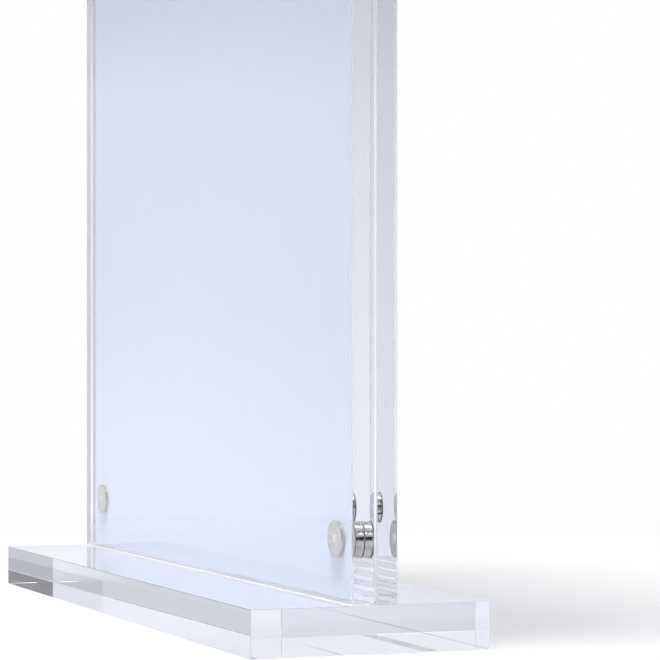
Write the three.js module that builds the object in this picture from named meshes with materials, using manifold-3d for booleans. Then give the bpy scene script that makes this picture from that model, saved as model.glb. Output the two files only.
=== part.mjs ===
// Clear acrylic sign holder. Two upright panels pinch a display sheet between disc magnets that
// sit in blind pockets. The rear panel is bonded to a heavy base block, and the front panel pulls
// off to change the sheet. Millimetres, +Z up, the reader stands in front, at -Y. The origin is
// the middle of the base's underside.
import * as THREE from 'three';
import { mergeVertices } from 'three/addons/utils/BufferGeometryUtils.js';
import Module from 'manifold-3d';

const wasm = await Module();
wasm.setup();

// Display sheet, a letter page of card.
const INSERT_WIDTH = 215.9;
const INSERT_HEIGHT = 279.4;
const INSERT_THICKNESS = 0.3;
const INSERT_CLEARANCE = 0.125; // air between the sheet and each panel
const INSERT_LIFT = 1; // lower edge of the sheet above the base

// Upright panels, cut from cast sheet of 6 mm nominal gauge, which varies from sheet to sheet.
const FRONT_PANEL_THICKNESS = 5.93;
const REAR_PANEL_THICKNESS = 5.54;
const PANEL_SIDE_MARGIN = 5.08; // panel beyond the sheet, left and right
const PANEL_TOP_MARGIN = 11.7; // panel above the sheet
const FRONT_FOOT_GAP = 0.15; // the front panel hangs on its magnets just clear of the base

// Base block, as wide as the panels.
const BASE_DEPTH = 62.8;
const BASE_THICKNESS = 11.87;
const GAP_SET_BACK = 0.84; // middle of the gap between the panels, behind the middle of the base

// Polished edges: the arris is the narrow flat that breaks each sharp edge.
const PANEL_ARRIS = 0.2;
const BASE_ARRIS = 0.2;

// Nickel-plated disc magnets and their pockets. A pocket's floor carries the dimple that the
// cutter's point leaves, and the magnet lies on a film of adhesive, flush with the inner face.
const MAGNET_DIAMETER = 9;
const MAGNET_THICKNESS = 2.5;
const MAGNET_EDGE_RADIUS = 0.3;
const MAGNET_SIDE_INSET = 13.94; // magnet centre from the panel's left or right edge
const MAGNET_END_INSET = 15.33; // magnet centre from the panel's lower or upper end
const POCKET_CLEARANCE = 0.15; // air round the magnet
const ADHESIVE_FILM = 0.1;
const DIMPLE_DIAMETER = 2.2;
const DIMPLE_DEPTH = 0.5;

const ROUND_SEGMENTS = 40;
const EDGE_STEPS = 3; // points along a quarter round of the magnet's edge
const CUT_OVERSHOOT = 1; // a cutter starts this far outside the face that it opens

const PANEL_WIDTH = INSERT_WIDTH + 2 * PANEL_SIDE_MARGIN;
const PANEL_HEIGHT = INSERT_LIFT + INSERT_HEIGHT + PANEL_TOP_MARGIN;
const BASE_WIDTH = PANEL_WIDTH;
const PANEL_GAP = INSERT_THICKNESS + 2 * INSERT_CLEARANCE;
const POCKET_DEPTH = MAGNET_THICKNESS + ADHESIVE_FILM;

// Inner faces of the panels, which look at each other across the gap.
const FRONT_INNER_Y = GAP_SET_BACK - PANEL_GAP / 2;
const REAR_INNER_Y = GAP_SET_BACK + PANEL_GAP / 2;

const MAGNET_X = PANEL_WIDTH / 2 - MAGNET_SIDE_INSET;
const MAGNET_LOW_Z = BASE_THICKNESS + MAGNET_END_INSET;
const MAGNET_HIGH_Z = BASE_THICKNESS + PANEL_HEIGHT - MAGNET_END_INSET;
const MAGNET_PLACES = [
  { corner: 'lower_left', x: -MAGNET_X, z: MAGNET_LOW_Z },
  { corner: 'lower_right', x: MAGNET_X, z: MAGNET_LOW_Z },
  { corner: 'upper_left', x: -MAGNET_X, z: MAGNET_HIGH_Z },
  { corner: 'upper_right', x: MAGNET_X, z: MAGNET_HIGH_Z },
];

// Cast acrylic, water clear with a cool cast, edges polished.
function clearAcrylic() {
  return new THREE.MeshStandardMaterial({
    color: 0xe6eefa,
    roughness: 0.04,
    metalness: 0,
    transparent: true,
    opacity: 0.35,
  });
}

// Bright nickel plating.
function nickelPlate() {
  return new THREE.MeshStandardMaterial({ color: 0xc8c4bc, roughness: 0.16, metalness: 1 });
}

// Uncoated white card.
function whiteCard() {
  return new THREE.MeshStandardMaterial({ color: 0xeef1fb, roughness: 0.9, metalness: 0 });
}

// A closed geometry as a solid that can be cut: shared vertices merged, slivers on an axis dropped.
function toSolid(geometry) {
  geometry.deleteAttribute('normal');
  geometry.deleteAttribute('uv');
  const merged = mergeVertices(geometry);
  const corners = merged.index.array;
  const kept = [];
  for (let i = 0; i < corners.length; i += 3) {
    const [a, b, c] = [corners[i], corners[i + 1], corners[i + 2]];
    if (a !== b && b !== c && c !== a) {
      kept.push(a, b, c);
    }
  }
  return new wasm.Manifold(
    new wasm.Mesh({
      numProp: 3,
      vertProperties: merged.attributes.position.array,
      triVerts: Uint32Array.from(kept),
    }),
  );
}

function toGeometry(solid) {
  const { vertProperties, triVerts } = solid.getMesh();
  const geometry = new THREE.BufferGeometry();
  geometry.setAttribute('position', new THREE.BufferAttribute(vertProperties, 3));
  geometry.setIndex(new THREE.BufferAttribute(triVerts, 1));
  geometry.computeVertexNormals();
  return geometry;
}

// A flat plate in the XY plane, centred there, from Z = 0 up, with an arris on every edge.
function polishedPlate(width, depth, thickness, arris) {
  const [x, y] = [width / 2, depth / 2];
  const outline = new THREE.Shape();
  outline.moveTo(-x + arris, -y);
  outline.lineTo(x - arris, -y);
  outline.lineTo(x, -y + arris);
  outline.lineTo(x, y - arris);
  outline.lineTo(x - arris, y);
  outline.lineTo(-x + arris, y);
  outline.lineTo(-x, y - arris);
  outline.lineTo(-x, -y + arris);
  outline.closePath();
  const plate = new THREE.ExtrudeGeometry(outline, {
    depth: thickness - 2 * arris,
    bevelThickness: arris,
    bevelSize: arris,
    bevelOffset: -arris,
    bevelSegments: 1,
  });
  return plate.translate(0, 0, arris);
}

// A pocket cutter round the Y axis. The pocket's mouth is at Y = 0, and its floor with the dimple
// is towards +Y.
function pocketCutter() {
  const radius = MAGNET_DIAMETER / 2 + POCKET_CLEARANCE;
  const profile = [
    new THREE.Vector2(0, -CUT_OVERSHOOT),
    new THREE.Vector2(radius, -CUT_OVERSHOOT),
    new THREE.Vector2(radius, POCKET_DEPTH),
    new THREE.Vector2(DIMPLE_DIAMETER / 2, POCKET_DEPTH),
    new THREE.Vector2(0, POCKET_DEPTH + DIMPLE_DEPTH),
  ];
  return new THREE.LatheGeometry(profile, ROUND_SEGMENTS);
}

// An upright panel with a pocket for each magnet. bottom is its lower edge, innerY the face that
// the pockets open in, and outward the way from that face to the outer one: -1 front, 1 rear.
function uprightPanel(bottom, thickness, innerY, outward) {
  const height = BASE_THICKNESS + PANEL_HEIGHT - bottom;
  const middleY = innerY + (outward * thickness) / 2;
  const plate = polishedPlate(PANEL_WIDTH, height, thickness, PANEL_ARRIS);
  plate.rotateX(Math.PI / 2);
  plate.translate(0, middleY + thickness / 2, bottom + height / 2);
  let panel = toSolid(plate);
  for (const place of MAGNET_PLACES) {
    const cutter = pocketCutter();
    if (outward < 0) {
      cutter.rotateX(Math.PI);
    }
    cutter.translate(place.x, innerY, place.z);
    panel = panel.subtract(toSolid(cutter));
  }
  return toGeometry(panel);
}

// A disc magnet round the Y axis, from Y = 0 towards +Y, with rounded rims.
function discMagnet() {
  const radius = MAGNET_DIAMETER / 2;
  const rimX = radius - MAGNET_EDGE_RADIUS;
  const profile = [new THREE.Vector2(0, 0)];
  for (const [centreY, start] of [
    [MAGNET_EDGE_RADIUS, -Math.PI / 2],
    [MAGNET_THICKNESS - MAGNET_EDGE_RADIUS, 0],
  ]) {
    for (let i = 0; i < EDGE_STEPS; i += 1) {
      const angle = start + ((Math.PI / 2) * i) / (EDGE_STEPS - 1);
      const x = rimX + MAGNET_EDGE_RADIUS * Math.cos(angle);
      const y = centreY + MAGNET_EDGE_RADIUS * Math.sin(angle);
      profile.push(new THREE.Vector2(x, y));
    }
  }
  profile.push(new THREE.Vector2(0, MAGNET_THICKNESS));
  return new THREE.LatheGeometry(profile, ROUND_SEGMENTS);
}

function displaySheet() {
  const [x, height] = [INSERT_WIDTH / 2, INSERT_HEIGHT];
  const outline = new THREE.Shape();
  outline.moveTo(-x, 0);
  outline.lineTo(x, 0);
  outline.lineTo(x, height);
  outline.lineTo(-x, height);
  outline.closePath();
  const options = { depth: INSERT_THICKNESS, bevelEnabled: false };
  const sheet = new THREE.ExtrudeGeometry(outline, options);
  sheet.rotateX(Math.PI / 2);
  return sheet.translate(0, INSERT_THICKNESS / 2, 0);
}

function piece(name, geometry, material) {
  const mesh = new THREE.Mesh(geometry, material);
  mesh.name = name;
  return mesh;
}

// The four magnets of one panel. Each lies flush with the inner face and points into its pocket.
function magnetSet(prefix, innerY, outward) {
  const set = new THREE.Group();
  for (const place of MAGNET_PLACES) {
    const magnet = piece(`${prefix}_magnet_${place.corner}`, discMagnet(), nickelPlate());
    magnet.position.set(place.x, innerY, place.z);
    magnet.rotation.x = outward < 0 ? Math.PI : 0;
    set.add(magnet);
  }
  return set;
}

// The stand: the base block with the rear panel bonded face to face on its top.
const stand = new THREE.Group();
const baseBlock = polishedPlate(BASE_WIDTH, BASE_DEPTH, BASE_THICKNESS, BASE_ARRIS);
stand.add(piece('base_block', baseBlock, clearAcrylic()));
const rearPanel = uprightPanel(BASE_THICKNESS, REAR_PANEL_THICKNESS, REAR_INNER_Y, 1);
stand.add(piece('rear_panel', rearPanel, clearAcrylic()));
stand.add(magnetSet('rear', REAR_INNER_Y, 1));

// The front leaf: the panel that pulls off with its own four magnets.
const frontLeaf = new THREE.Group();
const frontBottom = BASE_THICKNESS + FRONT_FOOT_GAP;
const frontPanel = uprightPanel(frontBottom, FRONT_PANEL_THICKNESS, FRONT_INNER_Y, -1);
frontLeaf.add(piece('front_panel', frontPanel, clearAcrylic()));
frontLeaf.add(magnetSet('front', FRONT_INNER_Y, -1));

const insert = piece('sign_insert', displaySheet(), whiteCard());
insert.position.set(0, GAP_SET_BACK, BASE_THICKNESS + INSERT_LIFT);

const signHolder = new THREE.Group();
signHolder.add(stand, frontLeaf, insert);

export default signHolder;
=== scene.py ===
import math

import bmesh
import bpy
from bpy.props import FloatProperty, FloatVectorProperty, IntProperty, PointerProperty
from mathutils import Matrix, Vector


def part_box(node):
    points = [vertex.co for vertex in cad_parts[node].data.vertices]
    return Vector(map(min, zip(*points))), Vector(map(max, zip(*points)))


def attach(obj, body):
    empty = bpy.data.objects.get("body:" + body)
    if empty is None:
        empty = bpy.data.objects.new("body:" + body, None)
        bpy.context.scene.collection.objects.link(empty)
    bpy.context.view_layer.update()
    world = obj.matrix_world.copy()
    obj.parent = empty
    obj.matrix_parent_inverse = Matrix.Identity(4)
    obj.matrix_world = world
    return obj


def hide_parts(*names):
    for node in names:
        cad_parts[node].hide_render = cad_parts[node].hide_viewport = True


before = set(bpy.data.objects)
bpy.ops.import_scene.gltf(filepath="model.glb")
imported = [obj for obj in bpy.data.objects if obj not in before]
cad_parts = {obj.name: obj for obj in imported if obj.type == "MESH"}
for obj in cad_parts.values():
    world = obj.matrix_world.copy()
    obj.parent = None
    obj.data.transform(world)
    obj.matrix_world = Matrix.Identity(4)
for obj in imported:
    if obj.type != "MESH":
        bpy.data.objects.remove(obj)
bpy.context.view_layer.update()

bl_info = {
    "name": "Acrylic Sign Holder",
    "version": (1, 0, 0),
    "blender": (4, 5, 0),
    "location": "3D View > Sidebar > Sign Holder",
    "description": "Dresses a clear magnetic sign holder: base, panels, magnets, card and studio",
    "category": "Object",
}

MM = 0.001

# Bodies that the pieces move with.
STAND = "stand"
FRONT_LEAF = "front_leaf"

CORNERS = ("lower_left", "lower_right", "upper_left", "upper_right")

# Steps of the rounded arrises, of a pocket's circle and of a magnet's rim.
ARRIS_STEPS = 3
POCKET_STEPS = 96
RIM_STEPS = 5

# A face is flat across an axis where its normal has at least this share along it, and it belongs
# to the foot where its normal's Z is below the second value.
FLAT_LIMIT = 0.9995
FOOT_LIMIT = -0.1

# Flat cell that is cut round each pocket, beyond its wall, how near its middle must be to the
# pocket's, and how near a cut takes over a point that is there already, in millimetres.
CELL_MARGIN = 2.0
CELL_REACH = 0.01
CUT_REACH = 1e-5

# The cutter's point is blunt: its cone ends at these shares of the dimple's radius and depth, and
# a flatter tip goes on to the last share of the depth.
BLUNT_RADIUS = 0.3
BLUNT_DEPTH = 0.76
TIP_DEPTH = 0.9

# A magnet's profile is turned about a circle too small to see, and the points there are merged to
# one, in millimetres.
AXIS_RADIUS = 0.001
MERGE_REACH = 0.005

# The weld's cement fills the rear panel's foot arris except right of this X, in millimetres.
WELD_OPEN_FROM = 10.0

# Material slots of the acrylic pieces, in the order that the mesh code counts them.
FACE, EDGE, SATIN_EDGE, WELD, POCKET_WALL, POCKET_FLOOR, SAWN_FOOT = range(7)

ACRYLIC_IOR = 1.492

# Rings of the cutter from a pocket's middle to its rim, as an angle: about 0.3 mm apart.
CUTTER_RINGS = 97.0

# Light that the studio paper adds to look white, to the camera and in metal and acrylic.
CAMERA_LIFT = 0.2
MIRRORED_LIFT = 0.06

# The studio floor's sides, and its drop below the base in millimetres, which keeps air between.
FLOOR_SIDES = 64
FLOOR_DROP = 0.25

# Softboxes: name, place and target in millimetres, side in metres, power in watts, spread of the
# beam in degrees, and whether metal and acrylic show it.
SOFTBOXES = (
    ("overhead_softbox", (190, -800, 2000), (0, 0, 100), 0.8, 34.0, 180, True),
    ("front_softbox", (-200, -1200, 200), (0, 0, 40), 0.5, 0.33, 36, False),
    ("back_softbox", (-300, 1400, 250), (0, 0, 20), 0.5, 0.5, 36, False),
)

# Way from the object to the white backdrop, which stands behind it and to the left.
BACKDROP_WAY = (-0.6, 0.8, 0.0)

# Light runs along inside the panels by many reflections before it comes out of an edge.
LIGHT_BOUNCES = 40

# The photograph's camera, in the CAD frame, and its square picture.
CAMERA_PLACE = (687.2, -240.9, 71.1)
CAMERA_YAW = 21.815
FOCAL_PIXELS = 2567.9
PICTURE_PIXELS = 660
HORIZON_PIXEL = 361.0
SENSOR_WIDTH = 36.0


def linear(hex_colour):
    """An sRGB hex colour as linear red, green and blue."""
    channels = []
    for start in (0, 2, 4):
        value = int(hex_colour[start:start + 2], 16) / 255
        low = value / 12.92
        high = ((value + 0.055) / 1.055) ** 2.4
        channels.append(low if value <= 0.04045 else high)
    return tuple(channels)


def opaque(colour):
    """A colour property or a linear colour with an alpha of one, for a node's colour socket."""
    return (*colour, 1.0)


def shaded(colour, share):
    """A share of a colour, at most white, with an alpha of one."""
    return opaque([min(1.0, channel * share) for channel in colour])


class SignHolderSizes(bpy.types.PropertyGroup):
    """Sizes of the dressed pieces."""

    panel_arris: FloatProperty(
        name="Panel Arris",
        description="Round that breaks the panels' polished edges",
        default=0.22 * MM,
        unit="LENGTH",
        precision=5,
    )
    base_arris: FloatProperty(
        name="Base Arris",
        description="Round that breaks the base block's polished edges",
        default=0.1 * MM,
        unit="LENGTH",
        precision=5,
    )
    pocket_clearance: FloatProperty(
        name="Pocket Clearance",
        description="Space round each magnet in its pocket, filled with clear adhesive",
        default=0.15 * MM,
        unit="LENGTH",
        precision=5,
    )
    adhesive_film: FloatProperty(
        name="Adhesive Film",
        description="Adhesive between a magnet and its pocket's floor",
        default=0.1 * MM,
        unit="LENGTH",
        precision=5,
    )
    dimple_diameter: FloatProperty(
        name="Dimple Diameter",
        description="Mark of the cutter's point in a pocket's floor",
        default=2.2 * MM,
        unit="LENGTH",
        precision=5,
    )
    dimple_depth: FloatProperty(
        name="Dimple Depth",
        description="Depth of the cutter's point below a pocket's floor",
        default=0.5 * MM,
        unit="LENGTH",
        precision=5,
    )
    magnet_rim: FloatProperty(
        name="Magnet Rim",
        description="Round on a magnet's two rims",
        default=0.3 * MM,
        unit="LENGTH",
        precision=5,
    )
    magnet_sides: IntProperty(
        name="Magnet Sides",
        description="Steps round a magnet's circle",
        default=96,
    )
    floor_radius: FloatProperty(
        name="Floor Radius",
        description="Radius of the round studio floor, which fades into the backdrop",
        default=1.1,
        unit="LENGTH",
    )


class SignHolderColours(bpy.types.PropertyGroup):
    """Colours of the finishes."""

    acrylic: FloatVectorProperty(
        name="Acrylic",
        description="Cool cast of the clear acrylic",
        subtype="COLOR",
        default=linear("F4F7FF"),
    )
    # Painted shade: the polished edges' acrylic is tinted darker than the faces, for light lost on its
    # long way through the panel.
    edge: FloatVectorProperty(
        name="Edge",
        description="Acrylic seen into a polished edge, where the light has come a long way through it",
        subtype="COLOR",
        default=linear("E5EBFB"),
    )
    satin: FloatVectorProperty(
        name="Satin Edge",
        description="Sanded edge of the acrylic, which glows",
        subtype="COLOR",
        default=linear("FFFFFF"),
    )
    sawn_foot: FloatVectorProperty(
        name="Sawn Foot",
        description="Front panel's sawn foot, a little warmer than the polished faces",
        subtype="COLOR",
        default=linear("F8F1EA"),
    )
    pocket_floor: FloatVectorProperty(
        name="Pocket Floor",
        description="Milled pocket floor with the adhesive behind it",
        subtype="COLOR",
        default=linear("CCC9C5"),
    )
    nickel: FloatVectorProperty(
        name="Nickel",
        description="Bright nickel plating of the magnets",
        subtype="COLOR",
        default=linear("D2CDC5"),
    )
    card: FloatVectorProperty(
        name="Card",
        description="White card with brightener",
        subtype="COLOR",
        default=linear("ECEDF3"),
    )
    floor: FloatVectorProperty(
        name="Floor",
        description="Pale studio floor",
        subtype="COLOR",
        default=linear("F3F2EF"),
    )


def add(tree, kind, values=None, links=None, **settings):
    """Adds a node with its settings, its sockets' values and the links into its sockets."""
    made = tree.nodes.new(kind)
    for name, value in settings.items():
        setattr(made, name, value)
    for socket, value in (values or {}).items():
        made.inputs[socket].default_value = value
    for socket, source in (links or {}).items():
        tree.links.new(source, made.inputs[socket])
    return made


def new_material(name):
    """An empty node material and its tree."""
    material = bpy.data.materials.new(name)
    material.use_nodes = True
    material.node_tree.nodes.clear()
    return material, material.node_tree


def per_metre(size_mm):
    """Scale of a noise or Voronoi pattern whose features are that many millimetres across."""
    return 1.0 / (size_mm * MM)


def clear_acrylic(name, colour, ripple_mm, ripple_height_mm):
    """Cast acrylic, buffed to a polish: water clear with a cool cast, so it shows by its edges,
    by what it bends and by faint waves from the buffing wheel."""
    material, tree = new_material(name)
    place = add(tree, "ShaderNodeTexCoord").outputs["Object"]
    # A casting's colour drifts a little over some 60 mm.
    drift = add(tree, "ShaderNodeTexNoise", {"Scale": per_metre(60), "Detail": 1.0}, {"Vector": place})
    tint = add(
        tree,
        "ShaderNodeMix",
        {6: opaque(colour), 7: shaded(colour, 0.992)},
        {0: drift.outputs["Fac"]},
        data_type="RGBA",
    )
    # Buffing leaves patches of some 12 mm a trace less sharp than the rest.
    haze = add(tree, "ShaderNodeTexNoise", {"Scale": per_metre(12), "Detail": 2.0}, {"Vector": place})
    polish = add(
        tree,
        "ShaderNodeMapRange",
        {"From Min": 0.4, "From Max": 0.8, "To Min": 0.0, "To Max": 0.02},
        {"Value": haze.outputs["Fac"]},
    )
    wave = add(
        tree,
        "ShaderNodeTexNoise",
        {"Scale": per_metre(ripple_mm), "Detail": 1.0},
        {"Vector": place},
    )
    bump = add(
        tree,
        "ShaderNodeBump",
        {"Strength": 1.0, "Distance": ripple_height_mm * MM},
        {"Height": wave.outputs["Fac"]},
    )
    acrylic = add(
        tree,
        "ShaderNodeBsdfPrincipled",
        {"Transmission Weight": 1.0, "IOR": ACRYLIC_IOR},
        {
            "Base Color": tint.outputs["Result"],
            "Roughness": polish.outputs["Result"],
            "Normal": bump.outputs["Normal"],
        },
    )
    # Lamps and bounced light pass straight through, which keeps the card behind evenly lit.
    passing = add(tree, "ShaderNodeBsdfTransparent", {"Color": opaque(linear("F6F8FC"))})
    path = add(tree, "ShaderNodeLightPath")
    lit = add(
        tree,
        "ShaderNodeMath",
        None,
        {0: path.outputs["Is Shadow Ray"], 1: path.outputs["Is Diffuse Ray"]},
        operation="MAXIMUM",
    )
    both = add(
        tree,
        "ShaderNodeMixShader",
        None,
        {0: lit.outputs[0], 1: acrylic.outputs[0], 2: passing.outputs[0]},
    )
    add(tree, "ShaderNodeOutputMaterial", None, {"Surface": both.outputs[0]})
    return material


def sanded_edge(name, colour, roughness, scattered):
    """Cast acrylic as a fine saw or sandpaper leaves it: satin, so it glows with the light behind
    it and shows no clear picture."""
    material, tree = new_material(name)
    place = add(tree, "ShaderNodeTexCoord").outputs["Object"]
    # Scratches of 0.05 mm run along an upright edge. They are drawn 0.4 mm apart so that they show.
    along = add(tree, "ShaderNodeMapping", {"Scale": (1.0, 1.0, 0.03)}, {"Vector": place})
    scratches = add(
        tree,
        "ShaderNodeTexNoise",
        {"Scale": per_metre(0.4), "Detail": 2.0},
        {"Vector": along.outputs[0]},
    )
    satin = add(
        tree,
        "ShaderNodeMapRange",
        {"To Min": roughness, "To Max": roughness * 1.5},
        {"Value": scratches.outputs["Fac"]},
    )
    shade = add(
        tree,
        "ShaderNodeMix",
        {6: opaque(colour), 7: shaded(colour, 0.97)},
        {0: scratches.outputs["Fac"]},
        data_type="RGBA",
    )
    acrylic = add(
        tree,
        "ShaderNodeBsdfPrincipled",
        {"Transmission Weight": 1.0, "IOR": ACRYLIC_IOR},
        {"Base Color": shade.outputs["Result"], "Roughness": satin.outputs["Result"]},
    )
    glow = add(tree, "ShaderNodeBsdfTranslucent", None, {"Color": shade.outputs["Result"]})
    both = add(tree, "ShaderNodeMixShader", {0: scattered}, {1: acrylic.outputs[0], 2: glow.outputs[0]})
    add(tree, "ShaderNodeOutputMaterial", None, {"Surface": both.outputs[0]})
    return material


def clear_joint(name, bubble_mm, clear):
    """Solvent weld or clear adhesive: the two faces have become one, so light goes straight on,
    less a trace where tiny bubbles stayed in the joint."""
    material, tree = new_material(name)
    place = add(tree, "ShaderNodeTexCoord").outputs["Object"]
    bubbles = add(tree, "ShaderNodeTexVoronoi", {"Scale": per_metre(bubble_mm)}, {"Vector": place})
    trace = add(
        tree,
        "ShaderNodeMapRange",
        {"From Min": 0.0, "From Max": 0.12, "To Min": clear - 0.06, "To Max": clear},
        {"Value": bubbles.outputs["Distance"]},
    )
    joint = add(tree, "ShaderNodeBsdfTransparent", None, {"Color": trace.outputs["Result"]})
    add(tree, "ShaderNodeOutputMaterial", None, {"Surface": joint.outputs[0]})
    return material


def milled_pocket_floor(name, colour):
    """Milled acrylic with adhesive behind it: a light warm grey without gloss, blotched, with painted
    shade darker at the rim, with the rings of the cutter, and a painted highlight that makes the dimple
    lighter."""
    material, tree = new_material(name)
    coordinates = add(tree, "ShaderNodeTexCoord")
    place = coordinates.outputs["Object"]
    # The UV map holds the place in the pocket, with the rim at a length of one.
    reach = add(tree, "ShaderNodeVectorMath", None, {0: coordinates.outputs["UV"]}, operation="LENGTH")
    reach = reach.outputs["Value"]
    # The adhesive lies in patches of about 1 mm.
    patches = add(tree, "ShaderNodeTexNoise", {"Scale": per_metre(1), "Detail": 3.0}, {"Vector": place})
    blotch = add(
        tree,
        "ShaderNodeMapRange",
        {"From Min": 0.35, "From Max": 0.65, "To Min": 0.84, "To Max": 1.08},
        {"Value": patches.outputs["Fac"]},
    )
    # Painted shade: the floor darkens towards its rim, where it meets the pocket's wall.
    rim = add(
        tree,
        "ShaderNodeMapRange",
        {"From Min": 0.8, "From Max": 1.0, "To Min": 1.0, "To Max": 0.82},
        {"Value": reach},
    )
    # A painted highlight: a light ring in the dimple, about a seventh of the way to the rim.
    painted_dimple_highlight = add(tree, "ShaderNodeMath", {1: 0.14}, {0: reach}, operation="SUBTRACT")
    painted_dimple_highlight = add(tree, "ShaderNodeMath", None, {0: painted_dimple_highlight.outputs[0]}, operation="ABSOLUTE")
    painted_dimple_highlight = add(
        tree,
        "ShaderNodeMapRange",
        {"From Min": 0.04, "From Max": 0.14, "To Min": 1.5, "To Max": 1.0},
        {"Value": painted_dimple_highlight.outputs[0]},
    )
    tone = add(
        tree,
        "ShaderNodeMath",
        None,
        {0: blotch.outputs["Result"], 1: rim.outputs["Result"]},
        operation="MULTIPLY",
    )
    tone = add(
        tree,
        "ShaderNodeMath",
        None,
        {0: tone.outputs[0], 1: painted_dimple_highlight.outputs["Result"]},
        operation="MULTIPLY",
    )
    shade = add(
        tree,
        "ShaderNodeVectorMath",
        {0: colour},
        {"Scale": tone.outputs[0]},
        operation="SCALE",
    )
    rings = add(tree, "ShaderNodeMath", {1: CUTTER_RINGS}, {0: reach}, operation="MULTIPLY")
    rings = add(tree, "ShaderNodeMath", None, {0: rings.outputs[0]}, operation="SINE")
    bump = add(
        tree,
        "ShaderNodeBump",
        {"Strength": 0.6, "Distance": 0.02 * MM},
        {"Height": rings.outputs[0]},
    )
    floor = add(
        tree,
        "ShaderNodeBsdfPrincipled",
        {"Roughness": 0.5, "IOR": ACRYLIC_IOR},
        {"Base Color": shade.outputs["Vector"], "Normal": bump.outputs["Normal"]},
    )
    add(tree, "ShaderNodeOutputMaterial", None, {"Surface": floor.outputs[0]})
    return material


def bright_nickel(name, colour):
    """Bright nickel plating: a warm mirror, a little clouded by handling scratches."""
    material, tree = new_material(name)
    place = add(tree, "ShaderNodeTexCoord").outputs["Object"]
    clouds = add(tree, "ShaderNodeTexNoise", {"Scale": per_metre(2), "Detail": 4.0}, {"Vector": place})
    rough = add(
        tree,
        "ShaderNodeMapRange",
        {"From Min": 0.3, "From Max": 0.7, "To Min": 0.03, "To Max": 0.1},
        {"Value": clouds.outputs["Fac"]},
    )
    shade = add(
        tree,
        "ShaderNodeMix",
        {6: opaque(colour), 7: shaded(colour, 0.9)},
        {0: clouds.outputs["Fac"]},
        data_type="RGBA",
    )
    # Grinding left rings about 0.35 mm apart round the magnet's side.
    along = add(tree, "ShaderNodeMapping", {"Scale": (0.08, 1.0, 0.08)}, {"Vector": place})
    rings = add(
        tree,
        "ShaderNodeTexNoise",
        {"Scale": per_metre(0.35), "Detail": 2.0},
        {"Vector": along.outputs[0]},
    )
    bump = add(
        tree,
        "ShaderNodeBump",
        {"Strength": 0.5, "Distance": 0.02 * MM},
        {"Height": rings.outputs["Fac"]},
    )
    plate = add(
        tree,
        "ShaderNodeBsdfPrincipled",
        {"Metallic": 1.0},
        {
            "Base Color": shade.outputs["Result"],
            "Roughness": rough.outputs["Result"],
            "Normal": bump.outputs["Normal"],
        },
    )
    add(tree, "ShaderNodeOutputMaterial", None, {"Surface": plate.outputs[0]})
    return material


def white_card(name, colour):
    """Uncoated white card: matte, cool from its brightener, with the faint clouding of its pulp."""
    material, tree = new_material(name)
    place = add(tree, "ShaderNodeTexCoord").outputs["Object"]
    # Pulp clouds over some 7 mm. Fibres of 0.03 mm are drawn 0.5 mm across so that they show.
    clouds = add(tree, "ShaderNodeTexNoise", {"Scale": per_metre(7), "Detail": 4.0}, {"Vector": place})
    shade = add(
        tree,
        "ShaderNodeMix",
        {6: shaded(colour, 0.97), 7: shaded(colour, 1.02)},
        {0: clouds.outputs["Fac"]},
        data_type="RGBA",
    )
    fibres = add(
        tree,
        "ShaderNodeTexNoise",
        {"Scale": per_metre(0.5), "Detail": 3.0},
        {"Vector": place},
    )
    bump = add(
        tree,
        "ShaderNodeBump",
        {"Strength": 0.25, "Distance": 0.02 * MM},
        {"Height": fibres.outputs["Fac"]},
    )
    card = add(
        tree,
        "ShaderNodeBsdfPrincipled",
        {"Roughness": 0.9, "IOR": 1.45, "Specular IOR Level": 0.2},
        {"Base Color": shade.outputs["Result"], "Normal": bump.outputs["Normal"]},
    )
    add(tree, "ShaderNodeOutputMaterial", None, {"Surface": card.outputs[0]})
    return material


def studio_paper(name, colour):
    """Smooth studio paper as the floor: white to the eye, in metal and in acrylic, with a faint
    sheen, and it keeps the shadow."""
    material, tree = new_material(name)
    place = add(tree, "ShaderNodeTexCoord").outputs["Object"]
    # The paper's tone drifts a little over some 300 mm.
    clouds = add(
        tree,
        "ShaderNodeTexNoise",
        {"Scale": per_metre(300), "Detail": 2.0},
        {"Vector": place},
    )
    shade = add(
        tree,
        "ShaderNodeMix",
        {6: opaque(colour), 7: shaded(colour, 0.985)},
        {0: clouds.outputs["Fac"]},
        data_type="RGBA",
    )
    paper = add(
        tree,
        "ShaderNodeBsdfPrincipled",
        {"Roughness": 0.35, "IOR": 1.5},
        {"Base Color": shade.outputs["Result"]},
    )
    path = add(tree, "ShaderNodeLightPath")
    shown = add(
        tree,
        "ShaderNodeMath",
        None,
        {0: path.outputs["Is Glossy Ray"], 1: path.outputs["Is Transmission Ray"]},
        operation="MAXIMUM",
    )
    shown = add(
        tree,
        "ShaderNodeMath",
        {1: MIRRORED_LIFT},
        {0: shown.outputs[0]},
        operation="MULTIPLY",
    )
    lift = add(
        tree,
        "ShaderNodeMath",
        {1: CAMERA_LIFT},
        {0: path.outputs["Is Camera Ray"], 2: shown.outputs[0]},
        operation="MULTIPLY_ADD",
    )
    glow = add(tree, "ShaderNodeEmission", None, {"Strength": lift.outputs[0]})
    both = add(tree, "ShaderNodeAddShader", None, {0: paper.outputs[0], 1: glow.outputs[0]})
    # The floor gives way to the backdrop from 0.2 to 0.5 m off the middle of the base.
    reach = add(tree, "ShaderNodeVectorMath", None, {0: place}, operation="LENGTH")
    fade = add(
        tree,
        "ShaderNodeMapRange",
        {"From Min": 0.2, "From Max": 0.5},
        {"Value": reach.outputs["Value"]},
        interpolation_type="SMOOTHSTEP",
    )
    beyond = add(tree, "ShaderNodeBsdfTransparent")
    all_round = add(
        tree,
        "ShaderNodeMixShader",
        None,
        {0: fade.outputs["Result"], 1: both.outputs[0], 2: beyond.outputs[0]},
    )
    add(tree, "ShaderNodeOutputMaterial", None, {"Surface": all_round.outputs[0]})
    return material


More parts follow.
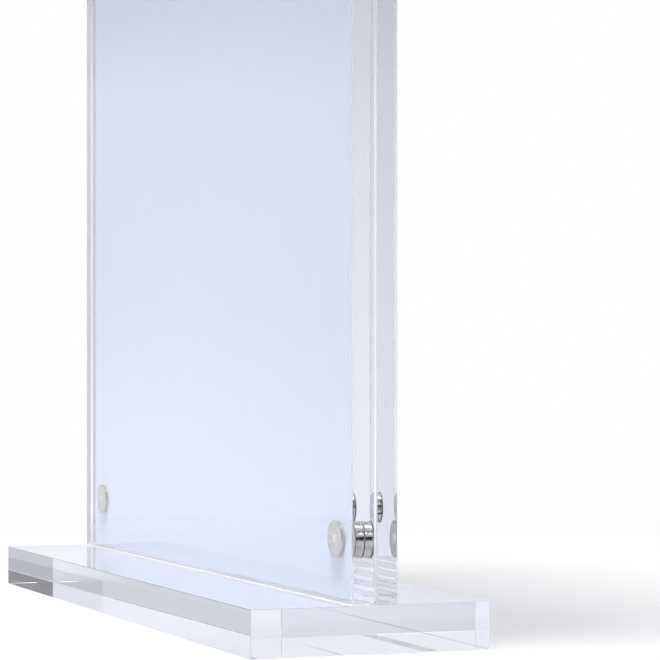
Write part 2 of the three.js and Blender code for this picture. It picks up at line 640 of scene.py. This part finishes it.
def new_piece(name, bm, materials):
    """Turns mesh code in millimetres into a piece in metres, at the origin."""
    bmesh.ops.recalc_face_normals(bm, faces=bm.faces[:])
    bmesh.ops.scale(bm, vec=(MM, MM, MM), verts=bm.verts[:])
    mesh = bpy.data.meshes.new(name)
    bm.to_mesh(mesh)
    bm.free()
    for material in materials:
        mesh.materials.append(material)
    piece = bpy.data.objects.new(name, mesh)
    bpy.context.scene.collection.objects.link(piece)
    return piece


def node_box(node):
    """Lowest and highest corner of a CAD node, in millimetres."""
    low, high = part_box(node)
    return low / MM, high / MM


def polished_block(low, high, arris):
    """A closed block between two corners with a rounded arris on every edge."""
    bm = bmesh.new()
    bmesh.ops.create_cube(bm, size=1.0)
    bmesh.ops.scale(bm, vec=high - low, verts=bm.verts[:])
    bmesh.ops.translate(bm, vec=(low + high) / 2, verts=bm.verts[:])
    bmesh.ops.bevel(
        bm,
        geom=bm.edges[:],
        offset=arris,
        offset_type="OFFSET",
        segments=ARRIS_STEPS,
        profile=0.5,
        affect="EDGES",
    )
    bm.normal_update()
    for face in bm.faces:
        face.smooth = max(abs(part) for part in face.normal) < FLAT_LIMIT
    return bm


def slice_block(bm, axis, places):
    """Cuts lines into the block's faces at places along an axis, without opening it."""
    across = Vector((0.0, 0.0, 0.0))
    across[axis] = 1.0
    for place in places:
        bmesh.ops.bisect_plane(
            bm,
            geom=bm.verts[:] + bm.edges[:] + bm.faces[:],
            plane_co=across * place,
            plane_no=across,
            dist=CUT_REACH,
        )


def sink_pocket(bm, centre, inward, radius, depth, dimple_radius, dimple_depth):
    """Opens a blind round pocket in the flat cell round centre: mouth, wall, floor and the dimple
    that the cutter's point left."""
    bm.normal_update()
    cell = None
    for face in bm.faces:
        if face.normal.y * inward > -FLAT_LIMIT:
            continue
        if (face.calc_center_median() - centre).length < CELL_REACH:
            cell = face
    if cell is None:
        raise RuntimeError("No flat cell for the pocket at %s" % centre)
    rim = cell.edges[:]
    rings = []
    profile = (
        (radius, 0.0),
        (radius, depth),
        (dimple_radius, depth),
        (dimple_radius * BLUNT_RADIUS, depth + dimple_depth * BLUNT_DEPTH),
    )
    for ring_radius, ring_depth in profile:
        ring = []
        for step in range(POCKET_STEPS):
            turn = 2 * math.pi * step / POCKET_STEPS
            x = math.cos(turn) * ring_radius
            z = math.sin(turn) * ring_radius
            ring.append(bm.verts.new(centre + Vector((x, inward * ring_depth, z))))
        rings.append(ring)
    tip_depth = depth + dimple_depth * TIP_DEPTH
    tip = bm.verts.new(centre + Vector((0.0, inward * tip_depth, 0.0)))
    mouth = [bm.edges.new((rings[0][i - 1], rings[0][i])) for i in range(POCKET_STEPS)]
    bmesh.ops.delete(bm, geom=[cell], context="FACES_ONLY")
    bmesh.ops.triangle_fill(bm, use_beauty=True, use_dissolve=False, edges=rim + mouth)
    looks = ((POCKET_WALL, True), (POCKET_FLOOR, False), (POCKET_FLOOR, True))
    for (upper, lower), (slot, smooth) in zip(zip(rings, rings[1:]), looks):
        for i in range(POCKET_STEPS):
            face = bm.faces.new((upper[i - 1], upper[i], lower[i], lower[i - 1]))
            face.material_index = slot
            face.smooth = smooth
    for i in range(POCKET_STEPS):
        face = bm.faces.new((rings[-1][i - 1], rings[-1][i], tip))
        face.material_index = POCKET_FLOOR
        face.smooth = True
    pocket_map = bm.loops.layers.uv.verify()
    for vert in [tip] + [vert for ring in rings for vert in ring]:
        out = (vert.co - centre) / radius
        for loop in vert.link_loops:
            loop[pocket_map].uv = (out.x, out.z)


def acrylic_materials(colours):
    """The acrylic pieces' finishes, in slot order. They are made once and shared."""
    makers = (
        (
            "cast_acrylic_polished_face",
            lambda name: clear_acrylic(name, colours.acrylic, ripple_mm=40, ripple_height_mm=0.0006),
        ),
        (
            # The buffed edges take the darker edge colour, painted shade for the light lost along the
            # panel.
            "cast_acrylic_buffed_edge",
            lambda name: clear_acrylic(name, colours.edge, ripple_mm=6, ripple_height_mm=0.004),
        ),
        (
            "cast_acrylic_sanded_edge",
            lambda name: sanded_edge(name, colours.satin, roughness=0.3, scattered=0.3),
        ),
        ("acrylic_solvent_weld", lambda name: clear_joint(name, bubble_mm=4, clear=0.94)),
        ("clear_adhesive_fill", lambda name: clear_joint(name, bubble_mm=1, clear=1.0)),
        (
            "acrylic_milled_pocket_floor",
            lambda name: milled_pocket_floor(name, colours.pocket_floor),
        ),
        (
            "cast_acrylic_sawn_foot",
            lambda name: sanded_edge(name, colours.sawn_foot, roughness=0.5, scattered=0.5),
        ),
    )
    return [bpy.data.materials.get(name) or maker(name) for name, maker in makers]


def magnet_centres(side):
    """Centres of a panel's four magnets, in millimetres, and one magnet's size."""
    boxes = [node_box(f"{side}_magnet_{corner}") for corner in CORNERS]
    return [(low + high) / 2 for low, high in boxes], boxes[0][1] - boxes[0][0]


def make_panel(side, body, inward, sizes, colours):
    """One upright panel with its four pockets. inward is the way into the panel from its inner
    face, along Y."""
    node = f"{side}_panel"
    low, high = node_box(node)
    bm = polished_block(low, high, sizes.panel_arris / MM)
    centres, magnet = magnet_centres(side)
    radius = magnet.x / 2 + sizes.pocket_clearance / MM
    depth = magnet.y + sizes.adhesive_film / MM
    for axis in (0, 2):
        places = {round(centre[axis], 4) for centre in centres}
        reach = radius + CELL_MARGIN
        slice_block(bm, axis, sorted(p + s * reach for p in places for s in (-1, 1)))
    slice_block(bm, 0, [WELD_OPEN_FROM])
    bm.normal_update()
    for face in bm.faces:
        foot = face.normal.z < FOOT_LIMIT
        welded = foot and body == STAND
        if welded and (face.normal.z < -FLAT_LIMIT or face.calc_center_median().x < WELD_OPEN_FROM):
            face.material_index = WELD
        elif face.normal.x > FLAT_LIMIT or face.normal.z > FLAT_LIMIT:
            face.material_index = EDGE
        elif foot and body != STAND:
            face.material_index = SAWN_FOOT
        elif abs(face.normal.y) < FLAT_LIMIT:
            face.material_index = SATIN_EDGE
    inner_y = low.y if inward > 0 else high.y
    for centre in centres:
        sink_pocket(
            bm,
            Vector((centre.x, inner_y, centre.z)),
            inward,
            radius,
            depth,
            sizes.dimple_diameter / MM / 2,
            sizes.dimple_depth / MM,
        )
    piece = new_piece(f"{side}_panel_polished", bm, acrylic_materials(colours))
    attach(piece, body)
    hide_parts(node)


def disc_magnet_tree():
    """Geometry nodes for one panel's magnets: a rim profile turned into a disc, set on the four
    corners of a rectangle."""
    tree = bpy.data.node_groups.new("disc_magnets", "GeometryNodeTree")
    sockets = {}
    inputs = (
        ("Radius", "NodeSocketFloat"),
        ("Half Thickness", "NodeSocketFloat"),
        ("Rim", "NodeSocketFloat"),
        ("Sides", "NodeSocketInt"),
        ("Spread X", "NodeSocketFloat"),
        ("Spread Z", "NodeSocketFloat"),
        ("Middle", "NodeSocketVector"),
        ("Finish", "NodeSocketMaterial"),
    )
    for name, kind in inputs:
        socket = tree.interface.new_socket(name=name, in_out="INPUT", socket_type=kind)
        sockets[name] = socket.identifier
    tree.interface.new_socket(name="Magnets", in_out="OUTPUT", socket_type="NodeSocketGeometry")
    given = add(tree, "NodeGroupInput").outputs
    radius = given["Radius"]
    top = given["Half Thickness"]
    below = add(tree, "ShaderNodeMath", {1: -1.0}, {0: top}, operation="MULTIPLY")
    below = below.outputs[0]
    inner_low = add(tree, "ShaderNodeCombineXYZ", None, {"Y": below})
    outer_low = add(tree, "ShaderNodeCombineXYZ", None, {"X": radius, "Y": below})
    outer_high = add(tree, "ShaderNodeCombineXYZ", None, {"X": radius, "Y": top})
    inner_high = add(tree, "ShaderNodeCombineXYZ", None, {"Y": top})
    outline = add(
        tree,
        "GeometryNodeCurvePrimitiveQuadrilateral",
        None,
        {
            "Point 1": inner_low.outputs[0],
            "Point 2": outer_low.outputs[0],
            "Point 3": outer_high.outputs[0],
            "Point 4": inner_high.outputs[0],
        },
        mode="POINTS",
    )
    opened = add(
        tree,
        "GeometryNodeSetSplineCyclic",
        {"Cyclic": False},
        {"Geometry": outline.outputs[0]},
    )
    rounded = add(
        tree,
        "GeometryNodeFilletCurve",
        {"Count": RIM_STEPS},
        {"Curve": opened.outputs[0], "Radius": given["Rim"]},
        mode="POLY",
    )
    axis = add(
        tree,
        "GeometryNodeCurvePrimitiveCircle",
        {"Radius": AXIS_RADIUS * MM},
        {"Resolution": given["Sides"]},
        mode="RADIUS",
    )
    turned = add(
        tree,
        "GeometryNodeCurveToMesh",
        None,
        {"Curve": axis.outputs["Curve"], "Profile Curve": rounded.outputs[0]},
    )
    disc = add(
        tree,
        "GeometryNodeMergeByDistance",
        {"Distance": MERGE_REACH * MM},
        {"Geometry": turned.outputs[0]},
    )
    corners = add(
        tree,
        "GeometryNodeMeshGrid",
        {"Vertices X": 2, "Vertices Y": 2},
        {"Size X": given["Spread X"], "Size Y": given["Spread Z"]},
    )
    upright = add(
        tree,
        "GeometryNodeTransform",
        {"Rotation": (math.pi / 2, 0.0, 0.0)},
        {"Geometry": corners.outputs["Mesh"], "Translation": given["Middle"]},
    )
    placed = add(
        tree,
        "GeometryNodeInstanceOnPoints",
        {"Rotation": (math.pi / 2, 0.0, 0.0)},
        {"Points": upright.outputs[0], "Instance": disc.outputs[0]},
    )
    solid = add(tree, "GeometryNodeRealizeInstances", None, {"Geometry": placed.outputs[0]})
    smooth = add(tree, "GeometryNodeSetShadeSmooth", {"Shade Smooth": True}, {0: solid.outputs[0]})
    plated = add(
        tree,
        "GeometryNodeSetMaterial",
        None,
        {"Geometry": smooth.outputs[0], "Material": given["Finish"]},
    )
    add(tree, "NodeGroupOutput", None, {"Magnets": plated.outputs[0]})
    return tree, sockets


def make_magnets(side, body, tree, sockets, finish, sizes):
    """One panel's four disc magnets as one plain mesh."""
    centres, magnet = magnet_centres(side)
    low = Vector([min(c[i] for c in centres) for i in range(3)]) * MM
    high = Vector([max(c[i] for c in centres) for i in range(3)]) * MM
    values = {
        "Radius": magnet.x / 2 * MM,
        "Half Thickness": magnet.y / 2 * MM,
        "Rim": sizes.magnet_rim,
        "Sides": sizes.magnet_sides,
        "Spread X": high.x - low.x,
        "Spread Z": high.z - low.z,
        "Middle": (low + high) / 2,
        "Finish": finish,
    }
    name = f"{side}_magnets_plated"
    maker = bpy.data.objects.new("maker", bpy.data.meshes.new("maker"))
    bpy.context.scene.collection.objects.link(maker)
    modifier = maker.modifiers.new("discs", "NODES")
    modifier.node_group = tree
    for socket, value in values.items():
        modifier[sockets[socket]] = value
    depsgraph = bpy.context.evaluated_depsgraph_get()
    mesh = bpy.data.meshes.new_from_object(maker.evaluated_get(depsgraph))
    bpy.data.objects.remove(maker)
    mesh.name = name
    bm = bmesh.new()
    bm.from_mesh(mesh)
    bmesh.ops.recalc_face_normals(bm, faces=bm.faces[:])
    bm.to_mesh(mesh)
    bm.free()
    piece = bpy.data.objects.new(name, mesh)
    bpy.context.scene.collection.objects.link(piece)
    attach(piece, body)
    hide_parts(*[f"{side}_magnet_{corner}" for corner in CORNERS])


class SIGN_HOLDER_OT_base_block(bpy.types.Operator):
    """Make the base block, with the rear panel's weld on its top"""

    bl_idname = "sign_holder.base_block"
    bl_label = "Base Block"

    def execute(self, context):
        sizes = context.scene.sign_holder_sizes
        low, high = node_box("base_block")
        panel_low, panel_high = node_box("rear_panel")
        arris = sizes.base_arris / MM
        panel_arris = sizes.panel_arris / MM
        bm = polished_block(low, high, arris)
        weld_y = (panel_low.y + panel_arris, panel_high.y - panel_arris)
        slice_block(bm, 1, weld_y)
        bm.normal_update()
        for face in bm.faces:
            middle = face.calc_center_median()
            if face.normal.z > FLAT_LIMIT and weld_y[0] < middle.y < weld_y[1]:
                face.material_index = WELD
        materials = acrylic_materials(context.scene.sign_holder_colours)
        piece = new_piece("base_block_polished", bm, materials)
        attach(piece, STAND)
        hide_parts("base_block")
        return {"FINISHED"}


class SIGN_HOLDER_OT_panels(bpy.types.Operator):
    """Make the rear and the front panel with the pockets for their magnets"""

    bl_idname = "sign_holder.panels"
    bl_label = "Panels"

    def execute(self, context):
        sizes = context.scene.sign_holder_sizes
        colours = context.scene.sign_holder_colours
        make_panel("rear", STAND, 1, sizes, colours)
        make_panel("front", FRONT_LEAF, -1, sizes, colours)
        return {"FINISHED"}


class SIGN_HOLDER_OT_magnets(bpy.types.Operator):
    """Make the disc magnets of both panels"""

    bl_idname = "sign_holder.magnets"
    bl_label = "Magnets"

    def execute(self, context):
        sizes = context.scene.sign_holder_sizes
        finish = bright_nickel("bright_nickel_plate", context.scene.sign_holder_colours.nickel)
        tree, sockets = disc_magnet_tree()
        make_magnets("rear", STAND, tree, sockets, finish, sizes)
        make_magnets("front", FRONT_LEAF, tree, sockets, finish, sizes)
        return {"FINISHED"}


class SIGN_HOLDER_OT_insert(bpy.types.Operator):
    """Give the display sheet its card finish"""

    bl_idname = "sign_holder.insert"
    bl_label = "Display Sheet"

    def execute(self, context):
        card = white_card("uncoated_white_card", context.scene.sign_holder_colours.card)
        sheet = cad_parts["sign_insert"]
        sheet.data.materials.clear()
        sheet.data.materials.append(card)
        return {"FINISHED"}


def make_floor(scene):
    """The floor lies a hair below the base, so that the base's underside stays an air face."""
    bm = bmesh.new()
    radius = scene.sign_holder_sizes.floor_radius / MM
    bmesh.ops.create_circle(bm, cap_ends=True, segments=FLOOR_SIDES, radius=radius)
    bmesh.ops.translate(bm, vec=(0.0, 0.0, -FLOOR_DROP), verts=bm.verts[:])
    paper = studio_paper("smooth_studio_paper", scene.sign_holder_colours.floor)
    floor = new_piece("studio_floor", bm, [paper])


def make_surroundings(scene):
    """White where the camera looks. Metal and acrylic show a white backdrop behind the object and
    to its left, a dark room to the right and in front, and a white ceiling and floor."""
    world = bpy.data.worlds.new("studio_surroundings")
    world.use_nodes = True
    scene.world = world
    tree = world.node_tree
    tree.nodes.clear()
    way = add(tree, "ShaderNodeTexCoord").outputs["Generated"]
    towards = add(tree, "ShaderNodeVectorMath", {1: BACKDROP_WAY}, {0: way}, operation="DOT_PRODUCT")
    across = add(
        tree,
        "ShaderNodeMapRange",
        {"From Min": -1.0, "From Max": 1.0},
        {"Value": towards.outputs["Value"]},
    )
    round_about = add(tree, "ShaderNodeValToRGB", None, {"Fac": across.outputs["Result"]})
    stops = ((0.34, "44444C"), (0.45, "AAAAB0"), (0.63, "EBEBF0"), (0.9, "F8F8FC"))
    elements = round_about.color_ramp.elements
    for i, (spot, tone) in enumerate(stops):
        element = elements[i] if i < len(elements) else elements.new(spot)
        element.position = spot
        element.color = opaque(linear(tone))
    height = add(tree, "ShaderNodeSeparateXYZ", None, {0: way})
    # The walls fall off to a quarter between 6 and 12 degrees above the horizon.
    fall = add(
        tree,
        "ShaderNodeMapRange",
        {"From Min": 0.1, "From Max": 0.2, "To Min": 1.0, "To Max": 0.25},
        {"Value": height.outputs["Z"]},
    )
    # Below the horizon lies the floor, a fifth brighter than the walls.
    ground = add(
        tree,
        "ShaderNodeMapRange",
        {"From Min": -0.05, "From Max": 0.02, "To Min": 1.2, "To Max": 1.0},
        {"Value": height.outputs["Z"]},
    )
    level = add(
        tree,
        "ShaderNodeMath",
        None,
        {0: fall.outputs["Result"], 1: ground.outputs["Result"]},
        operation="MULTIPLY",
    )
    walls = add(
        tree,
        "ShaderNodeVectorMath",
        None,
        {0: round_about.outputs["Color"], 1: level.outputs[0]},
        operation="MULTIPLY",
    )
    path = add(tree, "ShaderNodeLightPath")
    # A pale ceiling closes the room. Metal and acrylic show the white cloth that hangs under it.
    mirrored = add(
        tree,
        "ShaderNodeMath",
        None,
        {0: path.outputs["Is Glossy Ray"], 1: path.outputs["Is Transmission Ray"]},
        operation="MAXIMUM",
    )
    ceiling = add(
        tree,
        "ShaderNodeMix",
        {6: opaque(linear("BCBCC0")), 7: opaque(linear("FFFFFF"))},
        {0: mirrored.outputs[0]},
        data_type="RGBA",
    )
    above = add(
        tree,
        "ShaderNodeMapRange",
        {"From Min": 0.38, "From Max": 0.62},
        {"Value": height.outputs["Z"]},
        interpolation_type="SMOOTHSTEP",
    )
    tone = add(
        tree,
        "ShaderNodeMix",
        None,
        {0: above.outputs["Result"], 6: walls.outputs["Vector"], 7: ceiling.outputs["Result"]},
        data_type="RGBA",
    )
    # In metal and acrylic the floor goes on past the paper, white on every side.
    under = add(
        tree,
        "ShaderNodeMapRange",
        {"From Min": -0.08, "From Max": -0.2},
        {"Value": height.outputs["Z"]},
        interpolation_type="SMOOTHSTEP",
    )
    shown = add(
        tree,
        "ShaderNodeMath",
        None,
        {0: under.outputs["Result"], 1: mirrored.outputs[0]},
        operation="MULTIPLY",
    )
    tone = add(
        tree,
        "ShaderNodeMix",
        {7: opaque(linear("F8F8FC"))},
        {0: shown.outputs[0], 6: tone.outputs["Result"]},
        data_type="RGBA",
    )
    around = add(tree, "ShaderNodeBackground", {"Strength": 1.0}, {"Color": tone.outputs["Result"]})
    backdrop = add(tree, "ShaderNodeBackground", {"Color": (1.0, 1.0, 1.0, 1.0), "Strength": 1.0})
    both = add(
        tree,
        "ShaderNodeMixShader",
        None,
        {0: path.outputs["Is Camera Ray"], 1: around.outputs[0], 2: backdrop.outputs[0]},
    )
    add(tree, "ShaderNodeOutputWorld", None, {"Surface": both.outputs[0]})


def make_lamp(scene, name, place, target, side, power, spread, mirrored):
    """A square softbox that looks at a target, its beam spread in degrees. Metal and acrylic show
    it only where mirrored is set. Places are in millimetres."""
    lamp = bpy.data.lights.new(name, "AREA")
    lamp.shape = "SQUARE"
    lamp.size = side
    lamp.energy = power
    lamp.spread = math.radians(spread)
    holder = bpy.data.objects.new(name, lamp)
    holder.location = Vector(place) * MM
    aim = (Vector(target) - Vector(place)).to_track_quat("-Z", "Y")
    holder.rotation_euler = aim.to_euler()
    holder.visible_camera = False
    holder.visible_glossy = mirrored
    holder.visible_transmission = mirrored
    scene.collection.objects.link(holder)


def make_camera(scene):
    """The photograph's camera: level, so that uprights stay upright, and shifted up."""
    data = bpy.data.cameras.new("photo_camera")
    data.sensor_width = SENSOR_WIDTH
    data.lens = FOCAL_PIXELS / PICTURE_PIXELS * SENSOR_WIDTH
    data.shift_y = (HORIZON_PIXEL - PICTURE_PIXELS / 2) / PICTURE_PIXELS
    camera = bpy.data.objects.new("photo_camera", data)
    camera.location = Vector(CAMERA_PLACE) * MM
    yaw = math.radians(CAMERA_YAW)
    ahead = Vector((-math.cos(yaw), math.sin(yaw), 0.0))
    camera.rotation_euler = ahead.to_track_quat("-Z", "Y").to_euler()
    scene.collection.objects.link(camera)
    scene.camera = camera


class SIGN_HOLDER_OT_studio(bpy.types.Operator):
    """Make the floor, the surroundings, the lamps and the photograph's camera"""

    bl_idname = "sign_holder.studio"
    bl_label = "Studio"

    def execute(self, context):
        scene = context.scene
        scene.view_settings.view_transform = "Standard"
        scene.cycles.max_bounces = LIGHT_BOUNCES
        scene.cycles.glossy_bounces = LIGHT_BOUNCES
        scene.cycles.transmission_bounces = LIGHT_BOUNCES
        scene.cycles.transparent_max_bounces = LIGHT_BOUNCES
        make_floor(scene)
        make_surroundings(scene)
        for softbox in SOFTBOXES:
            make_lamp(scene, *softbox)
        make_camera(scene)
        return {"FINISHED"}


class SIGN_HOLDER_PT_pieces(bpy.types.Panel):
    """Lists the pieces of the sign holder"""

    bl_idname = "SIGN_HOLDER_PT_pieces"
    bl_label = "Sign Holder"
    bl_space_type = "VIEW_3D"
    bl_region_type = "UI"
    bl_category = "Sign Holder"

    def draw(self, context):
        for maker in OPERATORS:
            self.layout.operator(maker.bl_idname)


OPERATORS = (
    SIGN_HOLDER_OT_base_block,
    SIGN_HOLDER_OT_panels,
    SIGN_HOLDER_OT_magnets,
    SIGN_HOLDER_OT_insert,
    SIGN_HOLDER_OT_studio,
)
CLASSES = (SignHolderSizes, SignHolderColours, *OPERATORS, SIGN_HOLDER_PT_pieces)


def register():
    for item in CLASSES:
        bpy.utils.register_class(item)
    bpy.types.Scene.sign_holder_sizes = PointerProperty(type=SignHolderSizes)
    bpy.types.Scene.sign_holder_colours = PointerProperty(type=SignHolderColours)


def unregister():
    del bpy.types.Scene.sign_holder_colours
    del bpy.types.Scene.sign_holder_sizes
    for item in reversed(CLASSES):
        bpy.utils.unregister_class(item)


def main():
    register()
    bpy.ops.sign_holder.base_block()
    bpy.ops.sign_holder.panels()
    bpy.ops.sign_holder.magnets()
    bpy.ops.sign_holder.insert()
    bpy.ops.sign_holder.studio()
    bpy.context.view_layer.update()


if __name__ == "__main__":
    main()
